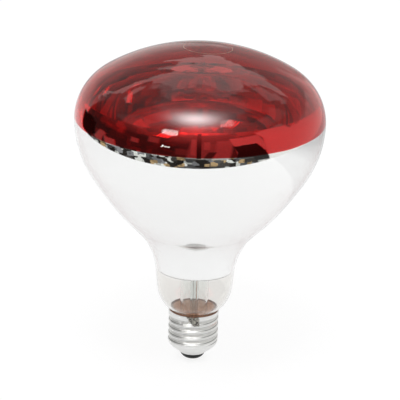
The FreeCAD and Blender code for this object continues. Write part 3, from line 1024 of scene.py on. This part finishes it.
# %% Stem glass
stem_ior = 1.55
stem_clear = (0.96, 0.975, 0.97)
stem_smeared = (0.9, 0.92, 0.91)
stem_glass, tree, shader, coords = new_material("stem_glass")
shader.inputs["Transmission Weight"].default_value = 1
shader.inputs["IOR"].default_value = stem_ior
smears = use_group(tree, smear_group, scale=90.0, clean=0.0, smeared=0.04)
tree.links.new(smears.outputs["Roughness"], shader.inputs["Roughness"])
tint = ramp(tree, smears.outputs["Mask"], (0.0, stem_clear), (1.0, stem_smeared))
tree.links.new(tint, shader.inputs["Base Color"])
print("stem glass bends light by", stem_ior)

# %% [markdown]
# A table says which finish each of the frame's own pieces wears. The pieces made here that still
# wait for theirs come after it.

# %% Dress the small pieces
finishes = {
    "cap_insulator": black_glass,
    "centre_contact": brass,
    "centre_solder": solder_metal,
    "stem_flare": stem_glass,
    "exhaust_tube": stem_glass,
    "support_rod": stem_glass,
    "inner_lead_left": nickel,
    "inner_lead_right": nickel,
    "seal_wire_left": copper,
    "seal_wire_right": copper,
    "centre_lead": copper,
    "side_lead": copper,
}
for number in range(1, 6):
    finishes[f"support_wire_{number}"] = molybdenum
for name, material in finishes.items():
    dress(nodes[name], material)
dress(solder, solder_metal)
dress(coil, tungsten)
dress(ring, ring_paint)
print("finishes", len(finishes))

# %% [markdown]
# The lamp stands on a white table with a round front edge, which its bowl reflects as a line
# between white and dark. A plane has four straight edges, so the table is one flat face whose
# outline is worked out: half a circle in front, and straight sides that run far back.

# %% Table
table_front_r = 0.43
table_middle = Vector((0.03, 0.14, 0))
table_half = 0.5
table_waist = 0.45
table_back = 1.9
front_steps = 48

front_edge = []
for step in range(front_steps + 1):
    angle = math.pi + math.pi * step / front_steps
    spoke = Vector((math.cos(angle), math.sin(angle), 0)) * table_front_r
    front_edge.append(table_middle + spoke)
left_side = [(-table_half, table_back, 0), (-table_half, table_waist, 0)]
right_side = [(table_half, table_waist, 0), (table_half, table_back, 0)]
outline = [*left_side, *front_edge, *right_side]
table_mesh = bpy.data.meshes.new("table")
table_mesh.from_pydata(outline, [], [list(range(len(outline)))])
table = bpy.data.objects.new("table", table_mesh)
scene.collection.objects.link(table)
print("table", len(outline), "corners")

# %% [markdown]
# The table has to show white to the camera and in every reflection, and still keep the lamp's soft
# shadow. A white matt surface alone would come out grey, so a part of its white is matt and takes
# the shadow, and the rest is given off. Behind the lamp the white paper turns up along a slanting
# line. Reflections find it a little brighter towards that line, and dimmer beyond it, the more the
# farther.

# %% White of the table
matt_white = (0.8, 0.8, 0.8)
full_white = 1.01
camera_lift = 0.03
shadow_share = 0.2
sweep_way = (0.721, 0.693, 0.0)
sweep_reach = 0.148
sweep_edge = 1.5 * mm
sweep_low = -0.05
sweep_peak_level = 1.05
sweep_level = 0.9
sweep_fall = 0.24
sweep_far = 0.38
sweep_far_level = 0.62
table_white = bpy.data.materials.new("table_white")
table_white.use_nodes = True
tree = table_white.node_tree
tree.nodes.clear()
path = place(tree, "ShaderNodeLightPath").outputs
mirrored = maths(tree, "MAXIMUM", path["Is Glossy Ray"], path["Is Transmission Ray"])
seen = maths(tree, "MAXIMUM", path["Is Camera Ray"], mirrored)
shade = mix(tree, seen, matt_white, (shadow_share, shadow_share, shadow_share))
matt = place(tree, "ShaderNodeBsdfDiffuse", feeds={"Color": shade})
spot = place(tree, "ShaderNodeTexCoord").outputs["Object"]
along = place(
    tree,
    "ShaderNodeVectorMath",
    operation="DOT_PRODUCT",
    feeds={0: spot},
    sets={1: sweep_way},
).outputs["Value"]
brighter = smooth(tree, along, sweep_low, sweep_reach, 1.0, sweep_peak_level)
risen = smooth(tree, along, sweep_reach, sweep_reach + sweep_edge, 1.0, sweep_level)
distant = smooth(tree, along, sweep_fall, sweep_far, 1.0, sweep_far_level)
paper = maths(tree, "MULTIPLY", brighter, maths(tree, "MULTIPLY", risen, distant))
change = maths(tree, "MULTIPLY", maths(tree, "SUBTRACT", paper, 1.0), mirrored)
level_seen = maths(tree, "MULTIPLY", maths(tree, "ADD", change, 1.0), full_white - shadow_share)
lift = maths(tree, "MULTIPLY", path["Is Camera Ray"], camera_lift)
strength = maths(tree, "ADD", maths(tree, "MULTIPLY", seen, level_seen), lift)
glow = place(tree, "ShaderNodeEmission", feeds={"Strength": strength})
both = place(tree, "ShaderNodeAddShader", feeds={0: matt.outputs[0], 1: glow.outputs[0]})
place(tree, "ShaderNodeOutputMaterial", feeds={"Surface": both.outputs[0]})
dress(table, table_white)
print("table white", len(tree.nodes), "nodes")

# %% [markdown]
# Glass and mirrors are made of what stands round them. Real boards and lamps could stand round the
# lamp, but they would shade each other and cast shadows, and small lamps are noisy. So the world
# draws the studio by direction: a pale backdrop behind the lamp, a bright panel overhead, dark
# flags in front, and boards and lamps between them. Directions are an azimuth and an elevation.

# %% Studio directions
world = bpy.data.worlds.new("studio")
scene.world = world
world.use_nodes = True
tree = world.node_tree
tree.nodes.clear()
heading = place(tree, "ShaderNodeTexCoord").outputs["Generated"]
axes = place(tree, "ShaderNodeSeparateXYZ", feeds={"Vector": heading}).outputs
azimuth = maths(tree, "ARCTAN2", axes["X"], maths(tree, "MULTIPLY", axes["Y"], -1.0))
rear_azimuth = maths(tree, "ARCTAN2", axes["X"], axes["Y"])
elevation = maths(tree, "ARCSINE", axes["Z"])


def towards(az, el):
    """The direction at an azimuth from the front, to the right, and an elevation, in degrees."""
    az = math.radians(az)
    el = math.radians(el)
    return Vector((math.sin(az) * math.cos(el), -math.cos(az) * math.cos(el), math.sin(el)))


print("to the right is", [round(x, 2) for x in towards(90, 0)])

# %% [markdown]
# The backdrop is a ramp whose places run from straight down at 0 to straight up at 1. A wide cone
# of directions in front is dark, where the flags hang, and low down the flags break up into blocks
# of black, brown and grey, which the strip of bare mirror reflects. Each could be a board of its
# own, but a Voronoi pattern of square cells makes them all at once.

# %% Backdrop and dark flags
flags_heading = (-32, -7)
flags_cosines = (-0.11, -0.07)
flags_lift = (0.26, 0.62)
block_scale = 13.0
block_stretch = 0.7


def near(direction):
    """The cosine of the angle from a direction."""
    return place(
        tree,
        "ShaderNodeVectorMath",
        operation="DOT_PRODUCT",
        feeds={0: heading},
        sets={1: direction},
    ).outputs["Value"]


def grey(level):
    """The studio's plain light, a little warm."""
    return (level, level * 0.985, level * 0.95)


horizon = smooth(tree, elevation, -math.pi / 2, math.pi / 2)
backdrop = ramp(
    tree,
    horizon,
    (0.47, grey(0.9)),
    (0.5, grey(0.84)),
    (0.56, grey(0.74)),
    (0.61, grey(0.5)),
    (0.67, grey(0.39)),
    (0.84, grey(0.36)),
    (0.92, grey(0.65)),
)
dark_mask = smooth(tree, near(towards(*flags_heading)), *flags_cosines)
wide = place(
    tree,
    "ShaderNodeCombineXYZ",
    feeds={"X": maths(tree, "MULTIPLY", azimuth, block_stretch), "Y": elevation},
)
blocks = place(
    tree,
    "ShaderNodeTexVoronoi",
    distance="CHEBYCHEV",
    feeds={"Vector": wide.outputs[0]},
    sets={"Scale": block_scale, "Randomness": 0.85},
)
pick = place(tree, "ShaderNodeSeparateColor", feeds={"Color": blocks.outputs["Color"]}).outputs["Red"]
low_flags = ramp(
    tree,
    pick,
    (0.0, (0.02, 0.018, 0.016)),
    (0.24, (0.06, 0.055, 0.05)),
    (0.38, (0.33, 0.23, 0.12)),
    (0.48, (0.17, 0.17, 0.175)),
    (0.64, (0.52, 0.53, 0.5)),
    (0.82, (0.07, 0.07, 0.07)),
)
low_flags.node.color_ramp.interpolation = "CONSTANT"
low_share = smooth(tree, elevation, math.radians(-16), math.radians(-12), 1.0, 0.0)
upper_flags = mix(tree, smooth(tree, elevation, *flags_lift), grey(0.075), grey(0.34))
light = mix(tree, dark_mask, backdrop, mix(tree, low_share, upper_flags, low_flags))
print("dark flags over a cone of", round(math.degrees(math.acos(flags_cosines[1]))), "degrees")

# %% [markdown]
# Blown glass is never quite even, so what it reflects has bent and torn edges. Waves in the glass
# itself would be noisy to render, so a slow noise bends the directions behind the lamp instead,
# where the reflections on the crown come from. What a ray meets depends on its past too. One that
# has passed both faces of a glass wall comes from inside the lamp, and finds the near boards
# elsewhere and dimmer than the outer face does. So the faces that it has passed are counted.

# %% Bent edges and passed faces
side_bend = 0.7
up_bend = 0.35
rear_share_inside = 0.4

wobble = place(
    tree,
    "ShaderNodeTexNoise",
    sets={"Scale": 4.0, "Detail": 5.0, "Roughness": 0.62},
    feeds={"Vector": heading},
).outputs
bend = place(tree, "ShaderNodeSeparateColor", feeds={"Color": wobble["Color"]}).outputs
behind = smooth(tree, axes["Y"], -0.2, 0.3)
side_share = maths(tree, "MULTIPLY", behind, side_bend)
up_share = maths(tree, "MULTIPLY", behind, up_bend)
bend_side = maths(tree, "MULTIPLY", maths(tree, "SUBTRACT", bend["Red"], 0.5), side_share)
bend_up = maths(tree, "MULTIPLY", maths(tree, "SUBTRACT", bend["Green"], 0.5), up_share)
warped_rear = maths(tree, "ADD", rear_azimuth, bend_side)
warped_el = maths(tree, "ADD", elevation, bend_up)

faces_passed = place(tree, "ShaderNodeLightPath").outputs["Transmission Depth"]
inside = smooth(tree, faces_passed, 1, 2)
outside = smooth(tree, faces_passed, 1, 2, 1.0, 0.0)
rear_share = smooth(tree, faces_passed, 1, 2, 1.0, rear_share_inside)
print("edges bend by up to", round(math.degrees(side_bend / 2)), "degrees")

# %% [markdown]
# Each board is a leaning box in azimuth and elevation with soft sides: where its middle is, its
# half sizes, how soft it is, how far it leans, and how bright it is. Those behind the lamp make the
# haze on the crown. For rays from inside the lamp they count for less, and the light breaks up into
# panes of uneven brightness, like the folds of the image that a deep mirror makes.

# %% Boards behind the lamp
rear_boards = [
    (8, 10, 7, 15, 3, 0.2, 0.45),
    (0, 77, 100, 10, 4, 0.0, 0.65),
    (-2, 63, 34, 7, 3, 0.0, 0.95),
    (-1, 54, 28, 9, 1.5, 0.2, 1.4),
    (16, 43, 20, 6, 1.5, -0.8, 1.15),
    (4, 44, 17, 4, 1.5, 0.3, 1.3),
    (5, 38, 9, 4, 1.2, 0.6, 1.25),
    (4, 34, 3, 4, 1.0, 0.3, 1.15),
    (-36, 41, 3, 12, 1, 0.9, 1.2),
    (-54, 49, 14, 1.6, 1, 0.0, 1.1),
    (-46, 27, 2.5, 5, 1, 1.1, 1.0),
    (43, 45, 5, 4, 1.5, -1.0, 0.9),
]
inner_boards = [
    (4, 39, 24, 4, 2.0, 0.0, 1.15),
    (-90, 18, 14, 7, 4.0, 0.0, 0.26),
]
pane_scale = 6.5
pane_range = (0.45, 1.75)


def board(around, middle_az, middle_el, half_az, half_el, soft, lean):
    """The mask of a soft-edged board, in degrees. Its sides lean by degrees for each degree up."""
    up = maths(tree, "SUBTRACT", warped_el, math.radians(middle_el))
    across = maths(tree, "SUBTRACT", around, math.radians(middle_az))
    across = maths(tree, "SUBTRACT", across, maths(tree, "MULTIPLY", up, lean))
    masks = []
    for off, half in ((across, half_az), (up, half_el)):
        distance = maths(tree, "ABSOLUTE", off)
        masks.append(smooth(tree, distance, math.radians(half + soft), math.radians(half)))
    return maths(tree, "MULTIPLY", *masks)


def hang(boards, around, light, share=1):
    """Lay boards over the light, each one over those before it, as far as their share goes."""
    for *place_and_size, level in boards:
        mask = maths(tree, "MULTIPLY", board(around, *place_and_size), share)
        light = mix(tree, mask, light, grey(level))
    return light


light = hang(rear_boards, warped_rear, light, rear_share)
light = hang(inner_boards, azimuth, light, inside)
panes = place(
    tree,
    "ShaderNodeTexVoronoi",
    distance="CHEBYCHEV",
    feeds={"Vector": heading},
    sets={"Scale": pane_scale},
)
tone = place(tree, "ShaderNodeSeparateColor", feeds={"Color": panes.outputs["Color"]}).outputs["Green"]
share = smooth(tree, tone, 0, 1, *pane_range)
paned = place(tree, "ShaderNodeVectorMath", operation="SCALE", feeds={0: light, "Scale": share})
light = mix(tree, inside, light, paned.outputs["Vector"])
print("boards behind", len(rear_boards), "and inside", len(inner_boards))

# %% [markdown]
# In front hang pale boards, which the red face shows as dull red shapes, and narrow dark ones over
# them. Flat cards on stands could do the same, but here each board is one line of a table, and each
# one lies over those before it.

# %% Boards in front
front_boards = [
    (105, -3, 43, 18, 3, 0.0, 0.86),
    (76, 19, 15, 9, 2, -0.5, 0.9),
    (92, 42, 18, 7, 4, 0.3, 0.6),
    (80, 56, 18, 6, 4, 0.0, 0.22),
    (-70, 38, 17, 8, 3, 0.8, 0.5),
    (-92, 55, 10, 12, 5, 0.5, 0.35),
    (14, 24, 18, 7, 4, 0.0, 0.2),
    (-42, 14, 4, 4, 2.5, 0.0, 0.3),
    (-60, 5, 3, 3, 2, 0.0, 0.35),
    (-120, -6, 11, 9, 2, 0.0, 0.015),
    (-101, -9, 4, 6, 2, 0.6, 0.4),
    (-88, -11, 6, 4, 2, 0.0, 0.45),
    (-15, -3, 5, 5, 2, 0.0, 0.16),
    (8, 0, 16, 15, 3, 0.1, 0.28),
    (22, 2, 6, 18, 3, 0.1, 0.4),
    (-5, 8, 1.5, 16, 1.5, 0.0, 0.42),
    (7, 12, 2.0, 7, 1.5, 0.0, 0.42),
    (0, 10, 1.6, 26, 0.8, 0.0, 0.04),
    (10, -8, 3, 6, 1.5, 0.3, 0.08),
    (47, 4, 14, 20, 1.5, -0.2, 0.72),
    (42, -4, 7, 12, 1.5, -0.3, 0.03),
    (53, -6, 7, 15, 1.5, -0.5, 0.03),
    (48, -11, 13, 5, 1.5, 0.0, 0.03),
]
light = hang(front_boards, azimuth, light)
print("boards in front", len(front_boards))

# %% [markdown]
# The louvred lamps are very bright, so they stay white even in the red face. They hang close to
# the lamp, so the mirror inside sees them elsewhere and dimmer than the face does, and each side
# has its own list. A sine over a slanted angle cuts them into slats.

# %% Louvred lamps
outer_louvres = [
    (-30, 34, 8.0, 5.0, 0.5, 0.1, 24.0),
    (-30, 5, 3.6, 1.7, 0.5, 0.0, 24.0),
    (37, 56, 8.0, 6.0, 0.8, 0.6, 7.0),
]
inner_louvres = [
    (-33, 27, 6.5, 4.8, 0.5, 0.9, 3.4),
]
louvre_pitch = math.radians(3.3)
louvre_slant = 0.5
slat_edge = 0.4

slanted = maths(tree, "SUBTRACT", azimuth, maths(tree, "MULTIPLY", elevation, louvre_slant))
ripple = maths(tree, "SINE", maths(tree, "MULTIPLY", slanted, math.tau / louvre_pitch))
slats = smooth(tree, ripple, 0.0, slat_edge)
for louvres, side in ((outer_louvres, outside), (inner_louvres, inside)):
    for *place_and_size, level in louvres:
        mask = maths(tree, "MULTIPLY", board(azimuth, *place_and_size), slats)
        light = mix(tree, maths(tree, "MULTIPLY", mask, side), light, grey(level))
print("louvred lamps", len(outer_louvres), "outside and", len(inner_louvres), "inside")

# %% [markdown]
# The large soft light fades outwards like a bell curve, which gives the long gleam without a hard
# edge, and a wider and weaker bell stands for its haze. An area lamp would have a hard edge. For
# rays from inside the lamp the soft light is dimmer, or it would light up the whole mirror.

# %% Soft light and its haze
soft_heading = (-8, 68)
soft_spread = math.radians(13.5)
soft_level = 17.0
soft_share_inside = 0.06
haze_heading = (4, 62)
haze_spread = math.radians(30)
haze_level = 0.9


def bell(direction, spread, level):
    """A light that fades outwards like a bell curve."""
    fall = maths(tree, "MULTIPLY", maths(tree, "SUBTRACT", near(direction), 1.0), 2 / spread**2)
    value = maths(tree, "MULTIPLY", maths(tree, "EXPONENT", fall), level)
    return place(tree, "ShaderNodeCombineXYZ", feeds={"X": value, "Y": value, "Z": value}).outputs[0]


soft_strength = smooth(tree, inside, 0, 1, soft_level, soft_share_inside * soft_level)
soft_glow = bell(towards(*soft_heading), soft_spread, soft_strength)
haze_glow = bell(towards(*haze_heading), haze_spread, haze_level)
for glow in (soft_glow, haze_glow):
    light = place(tree, "ShaderNodeVectorMath", feeds={0: light, 1: glow}).outputs["Vector"]
print("soft light peaks at", soft_level, "with a haze of", haze_level)

# %% [markdown]
# Mirrors and glass get the drawn studio, the camera gets plain white, and matt surfaces get one
# even light, so that the small bright lamps bring them no noise.

# %% World output
even_light = (0.8, 0.8, 0.8)
path = place(tree, "ShaderNodeLightPath").outputs
mirrored = maths(tree, "MAXIMUM", path["Is Glossy Ray"], path["Is Transmission Ray"])
even = mix(tree, path["Is Camera Ray"], even_light, (1.0, 1.0, 1.0))
background = place(tree, "ShaderNodeBackground", feeds={"Color": mix(tree, mirrored, even, light)})
place(tree, "ShaderNodeOutputWorld", feeds={"Surface": background.outputs[0]})
print("world", len(tree.nodes), "nodes")

# %% [markdown]
# One large soft box hangs high at the front left. It gives the matt surfaces a little shape and
# the table a soft shadow. Its gleam is already drawn by the world, so mirrors don't see it.

# %% Soft box
box_distance = 2.2
box_side = 0.62
box_power = 9

lamp_data = bpy.data.lights.new("soft_box", "AREA")
lamp_data.size = box_side
lamp_data.energy = box_power
lamp = bpy.data.objects.new("soft_box", lamp_data)
scene.collection.objects.link(lamp)
box_heading = towards(*soft_heading)
lamp.location = Vector((0, 0, equator_z)) + box_heading * box_distance
lamp.rotation_euler = box_heading.to_track_quat("Z", "Y").to_euler()
lamp.visible_camera = False
lamp.visible_glossy = False
lamp.visible_transmission = False
print("soft box", round(lamp.location.z, 2), "up")
